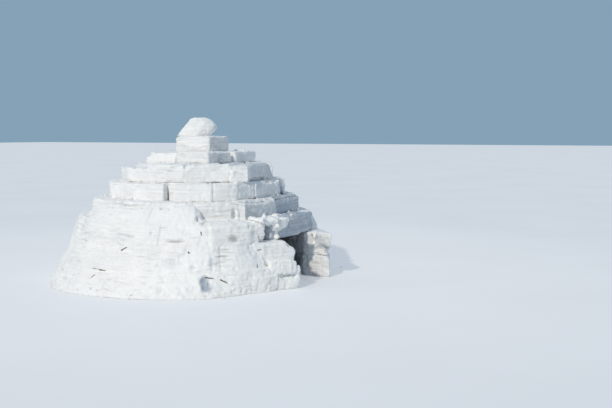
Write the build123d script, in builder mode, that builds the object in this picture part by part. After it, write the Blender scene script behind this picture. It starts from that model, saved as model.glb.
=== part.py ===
from build123d import *
import os
from collections import namedtuple
from itertools import pairwise
from math import asin, atan2, cos, degrees, radians, sin, sqrt

# A small stepped igloo of hand-cut snow blocks, in millimetres.
# The origin is on the ground under the middle of the dome. +Z is up, the doorway faces -Y.
# Angles are in degrees about +Z, counted from +X, so the doorway stands at -90.

# Doorway
door_width = 560
near_jamb_base_length = 175
near_jamb_head_length = 325
far_jamb_base_length = 355
far_jamb_head_length = 385
near_jamb_base_reach = 55
near_jamb_head_reach = 80
far_jamb_base_reach = 45
far_jamb_head_reach = 120
near_lintel_bearing = 65
far_lintel_bearing = 105
lintel_taper = 55
lintel_clearance = 16

# Outer radius of the lowest course, and how far each course steps in from the one below
base_radius = 1140
second_step = 75
third_step = 55
fourth_step = 115
fifth_step = 125
sixth_step = 110

# Height of each course
base_height = 180
second_height = 190
third_height = 160
fourth_height = 150
fifth_height = 140
sixth_height = 145
seventh_height = 95

# Depth of the blocks of each course, through the wall
base_depth = 260
second_depth = 260
third_depth = 270
fourth_depth = 300
fifth_depth = 310
sixth_depth = 390
sixth_front_width = 190
sixth_front_half = 203
sixth_inner_width = 170
sixth_inner_half = 155
sixth_near_corner_radius = 600

# Seventh course: four squared blocks, two and two, laid square to the doorway. The steps are counted
# from the outside of the sixth course.
crown_end_step = 277
crown_side_step = 345
crown_shift_x = 28
crown_shift_y = -30
crown_near_length = 340
crown_door_width = 310
crown_cross_joint = 60

# Closing slab and the loose lump on top of it
slab_length = 330
slab_width = 340
slab_height = 130
slab_shift_y = -50
lump_length = 310
lump_width = 240
lump_height = 165
lump_turn = -62.6

# Joints between neighbouring blocks, and the worn edges of the blocks
joint_gap = 8
worn_edge = 9

# Packed snow: how far its toe reaches past the base course at the back and at the two sides, how much
# further it spreads on the left, its thickness on the corners of the courses, how far its bulges and
# hollows depart from that, and the share of all these at its ends beside the doorway
bank_back_toe = 20
bank_side_toe = 148
bank_left_spread = 75
bank_left_spread_angle = -204
bank_left_spread_reach = 20
bank_thickness = 29
bank_relief = 14
bank_foot_height = 60
bank_below_top = 12
bank_end_share = 0.4

# Angles of the corners of the packed snow, and how high it is heaped there against the fourth course
bank_front_angles = [-195, -182, -169, -156, -142, -128]
bank_front_heaps = [104, 92, 98, 74, 30, 0]
bank_left_angles = [-245, -232, -220, -208, -195]
bank_left_heaps = [0, 96, 132, 118, 104]
bank_back_angles = [-300, -286, -272, -258, -245]
bank_far_back_angles = [-355, -341, -327, -313, -300]
bank_right_angles = [-50, -36, -22, -8, 5]
no_heaps = [0, 0, 0, 0, 0]

# Angles of the joints, as the blocks were laid. The lists run on from each other, and the ends
# beside the doorway are added below, where its jambs and its lintel are worked out.
base_front_angles = [-197, -176, -157, -143, -130]
base_left_angles = [-281, -260, -239, -218, -197]
base_back_angles = [-344, -323, -302, -281]
base_right_angles = [-37, -16, 16]
second_front_angles = [-207, -187, -168, -150, -137]
second_left_angles = [-291, -270, -249, -228, -207]
second_back_angles = [-354, -333, -312, -291]
second_right_angles = [-30, 6]
third_front_angles = [-198, -180, -161.5, -141]
third_left_angles = [-286, -264, -242, -220, -198]
third_back_angles = [-352, -330, -308, -286]
third_right_angles = [-39, -16, 8]
fourth_front_angles = [-190, -168, -146, -137, -124.8]
fourth_left_angles = [-283, -260, -237, -215, -190]
fourth_back_angles = [-352, -329, -306, -283]
fourth_right_angles = [-55.2, -31, -8, 8]
fifth_front_angles = [-188, -166.5, -160.5, -149.4, -136.5, -120.6]
fifth_left_angles = [-285, -261, -237, -213, -188]
fifth_back_angles = [-350, -330, -308, -285]
fifth_right_angles = [-59.4, -37, -13, 10]
sixth_front_angles = [-206, -180.5, -154.6, -122]
sixth_back_angles = [-333, -302, -270, -238, -206]
sixth_right_angles = [-60, -17, 27]
fifth_open_joint_angle = -166.5

# Length of the near one of the two blocks in the straight runs over the doorway
fourth_near_run_length = 570
fifth_near_run_length = 237

# Worked out from the sizes above
Course = namedtuple("Course", "outer depth bottom height")
base = Course(base_radius, base_depth, 0, base_height)
second = Course(base.outer - second_step, second_depth, base.bottom + base.height, second_height)
third = Course(second.outer - third_step, third_depth, second.bottom + second.height, third_height)
fourth = Course(third.outer - fourth_step, fourth_depth, third.bottom + third.height, fourth_height)
fifth = Course(fourth.outer - fifth_step, fifth_depth, fourth.bottom + fourth.height, fifth_height)
sixth = Course(fifth.outer - sixth_step, sixth_depth, fifth.bottom + fifth.height, sixth_height)
crown_bottom = sixth.bottom + sixth.height
slab_bottom = crown_bottom + seventh_height
lump_bottom = slab_bottom + slab_height
door_half = door_width / 2
half_gap = joint_gap / 2
near_lintel_end = door_half + near_lintel_bearing
far_lintel_end = door_half + far_lintel_bearing
near_lintel_back_end = near_lintel_end - lintel_taper
far_lintel_back_end = far_lintel_end - lintel_taper
lintel_face = -sqrt(third.outer**2 - far_lintel_end**2)
lintel_back = lintel_face + third.depth


def jamb_angle(course, length):
    """How far from the middle of the doorway a jamb block of some length ends."""
    return degrees(asin(door_half / course.outer) + length / course.outer)


def lintel_angle(back_end):
    """How far from the middle of the doorway the neighbour of one end of the lintel begins."""
    return degrees(atan2(back_end + lintel_clearance, -lintel_back))


base_front_angles.append(-90 - jamb_angle(base, near_jamb_base_length))
base_right_angles.insert(0, -90 + jamb_angle(base, far_jamb_base_length))
second_front_angles.append(-90 - jamb_angle(second, near_jamb_head_length))
second_right_angles.insert(0, -90 + jamb_angle(second, far_jamb_head_length))
third_front_angles.append(-90 - lintel_angle(near_lintel_back_end))
third_right_angles.insert(0, -90 + lintel_angle(far_lintel_back_end))

os.makedirs("parts", exist_ok=True)


def finish(part, name):
    """Label a finished piece and write it out."""
    part.label = name
    export_step(part, f"parts/{name}.step")


def on_circle(radius, angle):
    """The point of a circle about the dome's axis at an angle."""
    return (radius * cos(radians(angle)), radius * sin(radians(angle)))


def across_joint(radius, angle, side):
    """The point of a circle half a joint away from an angle, to one side of it."""
    return on_circle(radius, angle + side * degrees(half_gap / radius))


def wedge(course, start, end):
    """Plan of one block: straight faces, and ends that point to the dome's axis."""
    inner = course.outer - course.depth
    return [
        across_joint(course.outer, start, 1),
        across_joint(course.outer, end, -1),
        across_joint(inner, end, -1),
        across_joint(inner, start, 1),
    ]


def jamb(course, far_angle, side, reach):
    """Plan of a block beside the doorway, turned so that its end there stands out by its reach."""
    inner = course.outer - course.depth
    turn = 1 if side < 0 else -1
    return [
        (side * door_half, -sqrt((course.outer + reach) ** 2 - door_half**2)),
        across_joint(course.outer, far_angle, turn),
        across_joint(inner, far_angle, turn),
        (side * door_half, -sqrt((inner + reach) ** 2 - door_half**2)),
    ]


def squared(x_low, x_high, y_low, y_high):
    """Plan of a squared block from its four sides."""
    return [(x_low, y_low), (x_high, y_low), (x_high, y_high), (x_low, y_high)]


def block(plan, bottom, height):
    """One or more blocks of a course, standing on the course below, with worn edges."""
    with BuildPart() as laid:
        with BuildSketch(Plane.XY.offset(bottom)):
            for outline in plan:
                with BuildLine():
                    Polyline(*outline, close=True)
                make_face()
        extrude(amount=height)
        chamfer(laid.edges(), worn_edge)
    return laid.part


def course_segment(course, joints, name, gaps=()):
    """The blocks of one course between the first and the last of a list of joints."""
    plan = [wedge(course, start, end) for start, end in pairwise(joints) if start not in gaps]
    finish(block(plan, course.bottom, course.height), name)


def run_over_door(course, corner, near_length, names):
    """Two blocks in one straight run over the doorway, between matching corners."""
    inner = course.outer - course.depth
    joint = on_circle(course.outer, corner)[0] + near_length
    near_front, far_front = on_circle(course.outer, corner), on_circle(course.outer, -180 - corner)
    near_back, far_back = on_circle(inner, corner), on_circle(inner, -180 - corner)
    near_plan = [
        (near_front[0] + half_gap, near_front[1]),
        (joint - half_gap, near_front[1]),
        (joint - half_gap, near_back[1]),
        (near_back[0] + half_gap, near_back[1]),
    ]
    far_plan = [
        (joint + half_gap, far_front[1]),
        (far_front[0] - half_gap, far_front[1]),
        (far_back[0] - half_gap, far_back[1]),
        (joint + half_gap, far_back[1]),
    ]
    for plan, name in zip((near_plan, far_plan), names):
        finish(block([plan], course.bottom, course.height), name)


# Base course, with the doorway left open between its two jamb blocks
course_segment(base, base_front_angles, "base_course_front")
course_segment(base, base_left_angles, "base_course_left")
course_segment(base, base_back_angles, "base_course_back")
course_segment(base, base_right_angles, "base_course_right")
near_base = jamb(base, base_front_angles[-1], -1, near_jamb_base_reach)
far_base = jamb(base, base_right_angles[0], 1, far_jamb_base_reach)
finish(block([near_base], base.bottom, base.height), "near_jamb_base")
finish(block([far_base], base.bottom, base.height), "far_jamb_base")

# Second course: its tops give the doorway its height
course_segment(second, second_front_angles, "second_course_front")
course_segment(second, second_left_angles, "second_course_left")
course_segment(second, second_back_angles, "second_course_back")
course_segment(second, second_right_angles, "second_course_right")
near_head = jamb(second, second_front_angles[-1], -1, near_jamb_head_reach)
far_head = jamb(second, second_right_angles[0], 1, far_jamb_head_reach)
finish(block([near_head], second.bottom, second.height), "near_jamb_head")
finish(block([far_head], second.bottom, second.height), "far_jamb_head")

# Third course, with one long block as the lintel
course_segment(third, third_front_angles, "third_course_front")
course_segment(third, third_left_angles, "third_course_left")
course_segment(third, third_back_angles, "third_course_back")
course_segment(third, third_right_angles, "third_course_right")
lintel_plan = [
    (-near_lintel_end, lintel_face),
    (far_lintel_end, lintel_face),
    (far_lintel_back_end, lintel_back),
    (-near_lintel_back_end, lintel_back),
]
finish(block([lintel_plan], third.bottom, third.height), "door_lintel")

# Fourth course: a straight run of two long blocks over the lintel
course_segment(fourth, fourth_front_angles, "fourth_course_front")
course_segment(fourth, fourth_left_angles, "fourth_course_left")
course_segment(fourth, fourth_back_angles, "fourth_course_back")
course_segment(fourth, fourth_right_angles, "fourth_course_right")
fourth_run = ("fourth_course_near_door", "fourth_course_far_door")
run_over_door(fourth, fourth_front_angles[-1], fourth_near_run_length, fourth_run)

# Fifth course, with an open joint on the side that the camera saw
course_segment(fifth, fifth_front_angles, "fifth_course_front", gaps=[fifth_open_joint_angle])
course_segment(fifth, fifth_left_angles, "fifth_course_left")
course_segment(fifth, fifth_back_angles, "fifth_course_back")
course_segment(fifth, fifth_right_angles, "fifth_course_right")
fifth_run = ("fifth_course_near_door", "fifth_course_far_door")
run_over_door(fifth, fifth_front_angles[-1], fifth_near_run_length, fifth_run)

# Sixth course: its block over the doorway is narrow, and its near end is cut back to meet the ring
course_segment(sixth, sixth_front_angles, "sixth_course_front")
course_segment(sixth, sixth_back_angles, "sixth_course_back")
course_segment(sixth, sixth_right_angles, "sixth_course_right")
sixth_face = -sqrt(sixth.outer**2 - sixth_front_half**2)
sixth_middle = sixth_face + sixth_front_width
near_joint = sixth_front_angles[-1]
ring_corner = across_joint(sixth_near_corner_radius, near_joint, 1)
ring_inner = across_joint(sixth.outer - sixth.depth, near_joint, 1)
joint_share = (sixth_middle - ring_corner[1]) / (ring_inner[1] - ring_corner[1])
ring_middle = ring_corner[0] + joint_share * (ring_inner[0] - ring_corner[0])
outer_block = [
    (-sixth_front_half, sixth_face),
    (sixth_front_half, sixth_face),
    (sixth_front_half, sixth_middle),
    (ring_middle, sixth_middle),
    ring_corner,
]
inner_block = squared(
    -sixth_inner_half,
    sixth_inner_half,
    sixth_middle + joint_gap,
    sixth_middle + sixth_inner_width,
)
finish(block([outer_block, inner_block], sixth.bottom, sixth.height), "sixth_course_over_door")

# Seventh course: four squared blocks that bridge the hole in the dome
crown_half_length = sixth.outer - crown_end_step
crown_half_width = sixth.outer - crown_side_step
near_x = crown_shift_x - crown_half_length
far_x = crown_shift_x + crown_half_length
door_y = crown_shift_y - crown_half_width
back_y = crown_shift_y + crown_half_width
near_end_x = near_x + crown_near_length
far_start_x = near_end_x + crown_cross_joint
split_y = door_y + crown_door_width


crown_plans = {
    "seventh_course_near_door": squared(near_x, near_end_x, door_y, split_y - half_gap),
    "seventh_course_far_door": squared(far_start_x, far_x, door_y, split_y - half_gap),
    "seventh_course_near_back": squared(near_x, far_start_x - joint_gap, split_y + half_gap, back_y),
    "seventh_course_far_back": squared(far_start_x, far_x, split_y + half_gap, back_y),
}
for name, plan in crown_plans.items():
    finish(block([plan], crown_bottom, seventh_height), name)

# Closing slab over the last gap
with BuildPart() as closing_slab:
    with BuildSketch(Plane((0, slab_shift_y, slab_bottom))):
        Rectangle(slab_length, slab_width)
    extrude(amount=slab_height)
    chamfer(closing_slab.edges(), worn_edge)
finish(closing_slab.part, "closing_slab")

# Loose lump of snow on the slab, a broken wedge that rises away from its thin end. Each outline has
# its height and its two ends along the lump, as shares of the lump's own sizes. All the outlines are
# the same oval at different sizes, so the facets between them are flat.
lump_corners = 9
lump_outlines = [
    (0, -0.50, 0.38),
    (0.25, -0.45, 0.46),
    (0.58, -0.33, 0.50),
    (0.86, -0.22, 0.33),
    (1, -0.14, 0.20),
]
longest = max(thick_end - thin_end for height, thin_end, thick_end in lump_outlines)


def lump_points(thin_end, thick_end):
    """Corners of one outline of the lump, spread round an oval."""
    middle, half = (thin_end + thick_end) / 2, (thick_end - thin_end) / 2
    turns = [360 * corner / lump_corners for corner in range(lump_corners)]
    return [
        (
            (middle + half * cos(radians(turn))) * lump_length,
            sin(radians(turn)) * half / longest * lump_width,
        )
        for turn in turns
    ]


with BuildPart() as cap_lump:
    for height, thin_end, thick_end in lump_outlines:
        with BuildSketch(Plane.XY.offset(lump_bottom + height * lump_height).rotated((0, 0, lump_turn))):
            with BuildLine():
                Polyline(*lump_points(thin_end, thick_end), close=True)
            make_face()
    loft(ruled=True)
finish(cap_lump.part, "cap_lump")


def bulge(angle, height):
    """How far the packed snow bulges, from -1 to 1: hand-pressed snow follows no pattern."""
    broad = sin(radians(3 * angle - 0.5 * height))
    close = sin(radians(9 * angle + 0.3 * height + 40))
    return 0.4 * broad + 0.6 * close


def packed_snow(angles, heaps, name, end_angle=None):
    """Snow packed on the steps of the three lowest courses, sloping out to a toe on the ground."""
    core = third.outer - third.depth / 2
    top = third.bottom + third.height - bank_below_top
    with BuildPart() as bank:
        for angle, heap in zip(angles, heaps):
            share = bank_end_share if angle == end_angle else 1
            side_share = cos(radians(angle)) ** 2
            left_share = max(0, 1 - abs(angle - bank_left_spread_angle) / bank_left_spread_reach)
            toe = bank_back_toe + (bank_side_toe - bank_back_toe) * side_share
            toe = share * (toe + bank_left_spread * left_share)
            foot, base_skin, second_skin, third_skin = [
                share * (bank_thickness + bank_relief * bulge(angle, height))
                for height in (bank_foot_height, second.bottom, third.bottom, top)
            ]
            radial = Plane(
                (0, 0, 0),
                x_dir=(cos(radians(angle)), sin(radians(angle)), 0),
                z_dir=(sin(radians(angle)), -cos(radians(angle)), 0),
            )
            with BuildSketch(radial):
                with BuildLine():
                    Polyline(
                        (core, 0),
                        (base.outer + max(toe, foot), 0),
                        (base.outer + toe / 2 + foot * 3 / 4, bank_foot_height),
                        (base.outer + base_skin, second.bottom),
                        (second.outer + second_skin, third.bottom),
                        (third.outer + third_skin, top),
                        (fourth.outer, top + heap),
                        (core, top + heap - bank_below_top),
                        close=True,
                    )
                make_face()
        loft(ruled=True)
        for course in (base, second, third, fourth):
            with Locations((0, 0, course.bottom)):
                Cylinder(
                    course.outer,
                    course.height,
                    align=(Align.CENTER, Align.CENTER, Align.MIN),
                    mode=Mode.SUBTRACT,
                )
    finish(bank.part, name)


packed_snow(bank_front_angles, bank_front_heaps, "packed_snow_front", end_angle=bank_front_angles[-1])
packed_snow(bank_left_angles, bank_left_heaps, "packed_snow_left")
packed_snow(bank_back_angles, no_heaps, "packed_snow_back")
packed_snow(bank_far_back_angles, no_heaps, "packed_snow_far_back")
packed_snow(bank_right_angles, no_heaps, "packed_snow_right", end_angle=bank_right_angles[0])
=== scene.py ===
# %% [markdown]
# A small igloo of hand-cut snow blocks. The packed model gives every block at its real size and place. It
# is loaded first and stays as it is: this lesson makes new meshes round it, with the wear of real snow,
# and gives them a finish.

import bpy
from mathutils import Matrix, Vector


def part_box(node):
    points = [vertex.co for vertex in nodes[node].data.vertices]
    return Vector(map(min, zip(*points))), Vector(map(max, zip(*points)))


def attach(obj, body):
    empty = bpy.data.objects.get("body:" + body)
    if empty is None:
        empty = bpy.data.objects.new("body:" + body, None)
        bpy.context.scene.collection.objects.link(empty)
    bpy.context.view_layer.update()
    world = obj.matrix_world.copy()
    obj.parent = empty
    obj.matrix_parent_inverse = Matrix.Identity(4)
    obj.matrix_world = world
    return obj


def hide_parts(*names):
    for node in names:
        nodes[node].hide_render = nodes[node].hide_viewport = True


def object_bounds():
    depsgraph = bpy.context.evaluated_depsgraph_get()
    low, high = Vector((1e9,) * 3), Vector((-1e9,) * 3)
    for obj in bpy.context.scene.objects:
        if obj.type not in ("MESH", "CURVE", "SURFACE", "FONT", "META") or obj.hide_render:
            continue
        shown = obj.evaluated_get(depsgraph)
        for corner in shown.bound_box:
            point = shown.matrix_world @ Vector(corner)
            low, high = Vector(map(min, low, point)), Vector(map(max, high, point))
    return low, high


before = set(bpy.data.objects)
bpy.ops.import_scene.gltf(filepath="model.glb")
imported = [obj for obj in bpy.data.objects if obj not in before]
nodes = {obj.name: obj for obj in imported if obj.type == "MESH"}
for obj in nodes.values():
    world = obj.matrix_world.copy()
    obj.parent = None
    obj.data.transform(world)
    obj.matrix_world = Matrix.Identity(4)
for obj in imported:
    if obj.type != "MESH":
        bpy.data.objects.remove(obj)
cad_bounds = [list(corner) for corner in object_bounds()]

import math
from itertools import product

import bmesh
import bpy
import numpy as np
from mathutils import Matrix, Vector
from mathutils.bvhtree import BVHTree

print("nodes:", len(nodes), "bounds:", cad_bounds)

# %% [markdown]
# The camera comes first, because every choice of detail depends on how near it stands. It could be aimed
# by hand in the viewport. Here it is placed by numbers worked out from the photo, so that it can be
# checked: low, 1.22 m up, 7.4 m back from the middle of the dome, with a 50 mm lens on a 36 mm sensor.

# %% Camera
CAMERA_BACK = 7.4
CAMERA_SIDE = 0.94
CAMERA_HEIGHT = 1.22
LOOK_TURN = 62.6
LOOK_DOWN = 4.775
LENS_MM, SENSOR_MM = 50, 36
PICTURE_WIDE, PICTURE_HIGH = 612, 408
FOCUS = PICTURE_WIDE * LENS_MM / SENSOR_MM
A_HAIR = 0.001

lens = bpy.data.cameras.new("camera")
lens.lens = LENS_MM
lens.sensor_width = SENSOR_MM
camera = bpy.data.objects.new("camera", lens)
turn = math.radians(LOOK_TURN)
camera.location = (
    CAMERA_SIDE * math.cos(turn) - CAMERA_BACK * math.sin(turn),
    -CAMERA_BACK * math.cos(turn) - CAMERA_SIDE * math.sin(turn),
    CAMERA_HEIGHT,
)
camera.rotation_euler = (math.radians(90 - LOOK_DOWN), 0, math.radians(-LOOK_TURN))
bpy.context.scene.collection.objects.link(camera)
bpy.context.scene.camera = camera


def as_surface(objects):
    """Some objects as one surface that rays can meet."""
    points, faces = [], []
    for thing in objects:
        first = len(points)
        points += [tuple(v.co) for v in thing.data.vertices]
        faces += [tuple(first + i for i in p.vertices) for p in thing.data.polygons]
    return BVHTree.FromPolygons(points, faces)


def seen_at(surface, x, y):
    """Where the camera sees a surface at a point of the picture, a hair above it."""
    turned = camera.rotation_euler.to_matrix()
    way = turned @ Vector(((x - PICTURE_WIDE / 2) / FOCUS, (PICTURE_HIGH / 2 - y) / FOCUS, -1))
    place, normal, _, _ = surface.ray_cast(camera.location, way.normalized())
    return np.array(place + normal * A_HAIR)


print("camera at", tuple(round(c, 2) for c in camera.location))

# %% [markdown]
# Snow is shaped by chance, but the lesson has to give the same igloo each time. Blender's own textures
# could push the points about, but here the wear is mixed by rules, so the noise is worked out in plain
# numbers. Every corner of a grid gets a number from its place and a seed, and points between are blended.

# %% Repeatable noise
PRIMES = np.array([73856093, 19349663, 83492791])
SEED_PRIME, SCATTER = 26544357, 1274126177


def corner_numbers(cells, seed):
    """A repeatable number from -1 to 1 for each cell corner."""
    mixed = np.bitwise_xor.reduce(cells * PRIMES, axis=1) ^ seed * SEED_PRIME
    mixed = (mixed ^ (mixed >> 13)) * SCATTER & 0x7FFFFFFF
    mixed = mixed ^ (mixed >> 15)
    return (mixed & 0xFFFF) / 32767.5 - 1


def side_by_side(*values):
    """Values, some of them single numbers, as the columns of one array."""
    return np.stack(np.broadcast_arrays(*values), 1)


def luck(seed, count):
    """A few repeatable numbers from -1 to 1."""
    return corner_numbers(np.array([[seed, k, 5] for k in range(count)]), seed)


def bumps(points, size, seed):
    """Smooth noise from -1 to 1, with lumps of about a size in metres."""
    scaled = points / size
    cells = np.floor(scaled).astype(np.int64)
    share = scaled - cells
    share = share * share * (3 - 2 * share)
    total = np.zeros(len(points))
    for corner in product((0, 1), repeat=3):
        side = np.array(corner)
        weight = np.prod(np.where(side, share, 1 - share), axis=1)
        total += weight * corner_numbers(cells + side, seed)
    return total


def rough(points, size, seed, layers=3):
    """Layers of noise, each half as large and as strong as the one before."""
    return sum(bumps(points, size / 2**k, seed + 7 * k) / 2**k for k in range(layers))


def ramp(values, low, high):
    """Zero below low, one above high, and a smooth rise between."""
    share = np.clip((values - low) / (high - low), 0, 1)
    return share * share * (3 - 2 * share)


def stretch(values, start, full, fading, end):
    """One from full to fading, and a smooth fall to zero at start and at end."""
    return ramp(values, start, full) * (1 - ramp(values, fading, end))


print("noise at the origin:", float(rough(np.zeros((1, 3)), 0.1, 1)[0]))

# %% [markdown]
# The solids of a node are its blocks. Their angles round the dome tell where the joints are, for the
# grooves there. They could be written down by hand, but measured ones stay right when the model changes.
# Angles count on from a seam at the far side of the doorway.

# %% Blocks and joints of a node
SEAM = -410
SHARED_JOINT = 3.0


def blocks_of(node):
    """The separate solids of a node, each as its points and its triangles."""
    work = bmesh.new()
    work.from_mesh(nodes[node].data)
    bmesh.ops.remove_doubles(work, verts=work.verts, dist=1e-5)
    work.verts.ensure_lookup_table()
    seen, found = set(), []
    for start in work.verts:
        if start.index in seen:
            continue
        group, queue = [], [start]
        seen.add(start.index)
        while queue:
            here = queue.pop()
            group.append(here)
            for edge in here.link_edges:
                there = edge.other_vert(here)
                if there.index not in seen:
                    seen.add(there.index)
                    queue.append(there)
        place = {v.index: i for i, v in enumerate(group)}
        faces = {f for v in group for f in v.link_faces}
        found.append((
            np.array([v.co for v in group]),
            sorted([place[v.index] for v in f.verts] for f in faces),
        ))
    work.free()
    return found


def turn_of(points):
    """Angle of each point about the dome's axis, in degrees on from the seam."""
    return (np.degrees(np.arctan2(points[:, 1], points[:, 0])) - SEAM) % 360 + SEAM


def block_span(points):
    """The first and last angle of a block, in degrees on from the seam."""
    middle = math.atan2(points[:, 1].mean(), points[:, 0].mean())
    apart = np.arctan2(points[:, 1], points[:, 0]) - middle
    apart = np.degrees((apart + math.pi) % (2 * math.pi) - math.pi)
    middle = (math.degrees(middle) - SEAM) % 360 + SEAM
    return middle + apart.min(), middle + apart.max()


def joints_of(names):
    """Angles where two blocks of the named nodes meet."""
    spans = sorted(block_span(points) for node in names for points, _ in blocks_of(node))
    return np.array([(a[1] + b[0]) / 2 for a, b in zip(spans, spans[1:]) if b[0] - a[1] < SHARED_JOINT])


def course_nodes(course):
    """The nodes of a whole course."""
    return [n for n in nodes if n.startswith(course + "_course")]


print("joints of the base course:", joints_of(course_nodes("base")).round())

# %% [markdown]
# A sawn block has flat faces, but its corners break as it is carried, and no block lies just where it was
# meant to. Each could be modelled by hand, but here a rule does it. A copied block is turned and tipped by
# a degree or so, and made a little longer, which closes the thin joints. Then a plane cuts off a corner or
# two, because snow breaks off in flat faces, which a bevel would not show.

# %% Lay one block
TURN_BY, TIP_BY, LEAN_BY = 1.4, 1.0, 1.2
PUSHED_OUT, SET_BACK, PUSHED_UP = 0.007, 0.002, 0.003
LENGTHENED = np.array([0.0, 0.011, 0.003])
SHORTEST_REACH = 0.05


def laid(points, seed, tip, turn):
    """A block as it was left: turned, tipped and pushed a little, and made longer."""
    low, high = points.min(0), points.max(0)
    middle = (low + high) / 2
    outward = math.atan2(middle[1], middle[0])
    chance = luck(seed, 6)
    square = np.array(Matrix.Rotation(-outward, 3, "Z"))
    local = (points - middle) @ square.T
    reach = (local.max(0) - local.min(0)) / 2
    local *= 1 + LENGTHENED / np.maximum(reach, SHORTEST_REACH)
    move = Matrix.Rotation(math.radians(turn + TURN_BY * tip * chance[0]), 3, "Z")
    move = move @ Matrix.Rotation(math.radians(TIP_BY * tip * chance[1]), 3, "X")
    move = move @ Matrix.Rotation(math.radians(LEAN_BY * tip * chance[2]), 3, "Y")
    shift = np.array([PUSHED_OUT * chance[3] - SET_BACK, 0, PUSHED_UP * chance[4]])
    return ((local @ np.array(move).T) + shift) @ square + middle


def taken_from(work):
    """The points and faces of a bmesh, which is freed."""
    work.verts.index_update()
    points = np.array([v.co for v in work.verts])
    faces = [[v.index for v in f.verts] for f in work.faces]
    work.free()
    return points, faces


def broken(points, faces, seed, size):
    """A block with one or two of its outer corners cut off by a plane."""
    work = bmesh.new()
    verts = [work.verts.new(p) for p in points]
    for face in faces:
        work.faces.new([verts[i] for i in face])
    middle = Vector((points.max(0) + points.min(0)) / 2)
    outward = Vector((middle.x, middle.y, 0)).normalized()
    sideways = Vector((-outward.y, outward.x, 0))
    chance = luck(seed + 5, 8)
    for side, rise, depth in ((1, chance[0], chance[1]), (-1, chance[2], chance[3])):
        if depth < -0.2:
            continue
        up = Vector((0, 0, 1 if rise > -0.4 else -1))
        way = (outward + sideways * side * (0.7 + 0.3 * chance[4]) + up).normalized()
        reach = max((v.co - middle).dot(way) for v in work.verts)
        place = middle + way * (reach - size * (0.45 + 0.55 * depth))
        parts = work.verts[:] + work.edges[:] + work.faces[:]
        cut = bmesh.ops.bisect_plane(work, geom=parts, plane_co=place, plane_no=way, clear_outer=True)
        rim = [e for e in cut["geom_cut"] if isinstance(e, bmesh.types.BMEdge)]
        bmesh.ops.edgeloop_fill(work, edges=rim)
    return taken_from(work)


print("blocks turn by up to", TURN_BY, "degrees")

# %% [markdown]
# Then the blocks of a node get one even skin of small quads, by a voxel remesh. Blocks that touch grow
# together at their joints, as pressed snow does. Subdividing them would keep them apart and leave uneven
# faces. On small even quads every part of the skin can be moved by the noise.

# %% Even skin
SKIN = 0.0115


def even_skin(points, faces, size=SKIN):
    """Remesh closed solids into small even quads: the points, quads and edges."""
    mesh = bpy.data.meshes.new("raw")
    mesh.from_pydata([tuple(p) for p in points], [], faces)
    holder = bpy.data.objects.new("raw", mesh)
    bpy.context.scene.collection.objects.link(holder)
    remesh = holder.modifiers.new("skin", "REMESH")
    remesh.mode = "VOXEL"
    remesh.voxel_size = size
    made = bpy.data.meshes.new_from_object(holder.evaluated_get(bpy.context.evaluated_depsgraph_get()))
    skin = np.zeros(len(made.vertices) * 3)
    made.vertices.foreach_get("co", skin)
    quads = [tuple(p.vertices) for p in made.polygons]
    pairs = np.zeros(len(made.edges) * 2, np.int32)
    made.edges.foreach_get("vertices", pairs)
    bpy.data.objects.remove(holder)
    bpy.data.meshes.remove(mesh)
    bpy.data.meshes.remove(made)
    return skin.reshape(-1, 3), quads, pairs.reshape(-1, 2)


def relaxed(points, pairs, rounds):
    """Points pulled towards their neighbours, which rounds edges and corners."""
    points = points.copy()
    count = np.bincount(pairs.ravel(), minlength=len(points))[:, None]
    for _ in range(rounds):
        total = np.zeros_like(points)
        for axis in range(3):
            there = points[:, axis]
            total[:, axis] = np.bincount(pairs[:, 0], there[pairs[:, 1]], len(points))
            total[:, axis] += np.bincount(pairs[:, 1], there[pairs[:, 0]], len(points))
        points = 0.5 * points + 0.5 * total / count
    return points


def facing(points, quads):
    """Outward direction of the surface at each point."""
    corners = np.array(quads)
    across = points[corners[:, 2]] - points[corners[:, 0]]
    along = points[corners[:, 3]] - points[corners[:, 1]]
    face = np.cross(across, along)
    total = np.zeros_like(points)
    for column in range(4):
        for axis in range(3):
            total[:, axis] += np.bincount(corners[:, column], face[:, axis], len(points))
    return total / np.maximum(np.linalg.norm(total, axis=1), 1e-12)[:, None]


print("quads:", SKIN, "m wide")

# %% [markdown]
# Wear comes in the order of the real thing. Edges crumble, some of them right away, and dents and flakes
# come from hands and the wind. Thin layers of the drift that the blocks were cut from stand out on the
# sides as level ridges, more on one block than on the next, and the saw leaves upright ridges on some.
# Sculpting could do this for one block. A rule does it for all of them, with a seed for each node.

# %% Wear a skin
def wind_layers(points, seed, size=0.028):
    """Zero to one in the soft layers of the drift, which wear back first."""
    level = points * np.array([0.2, 0.2, 1.0]) + 0.005 * rough(points, 0.2, seed, 1)[:, None]
    return ramp(rough(level, size, 3, 2), 0.05, 0.6)


def clumps(points, size, seed, depth):
    """Rounded clumps with creases between them, as damp snow breaks."""
    return depth * (np.abs(rough(points, size, seed, 3)) - 0.35)


def joint_grooves(points, joints, width):
    """One on a joint between two blocks, fading to zero beside it."""
    if not len(joints):
        return np.zeros(len(points))
    apart = np.abs(turn_of(points)[:, None] - np.asarray(joints)[None, :]).min(1)
    away = np.radians(apart) * np.hypot(points[:, 0], points[:, 1])
    return np.exp(-((away / width) ** 2))


def saw_ridges(points, out, sawn, seed):
    """Upright saw ridges on faces of one direction, broken up by level ones."""
    upright = bumps(points * np.array([1.0, 1.0, 0.13]), 0.021, seed)
    level = bumps(points * np.array([0.3, 0.3, 1.0]), 0.03, 8)
    patchy = 0.4 + 0.6 * ramp(bumps(points, 0.16, seed + 1), -0.4, 0.3)
    return ramp(out @ np.array(sawn), 0.6, 0.9) * patchy * (upright + 0.4 * level)


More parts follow.
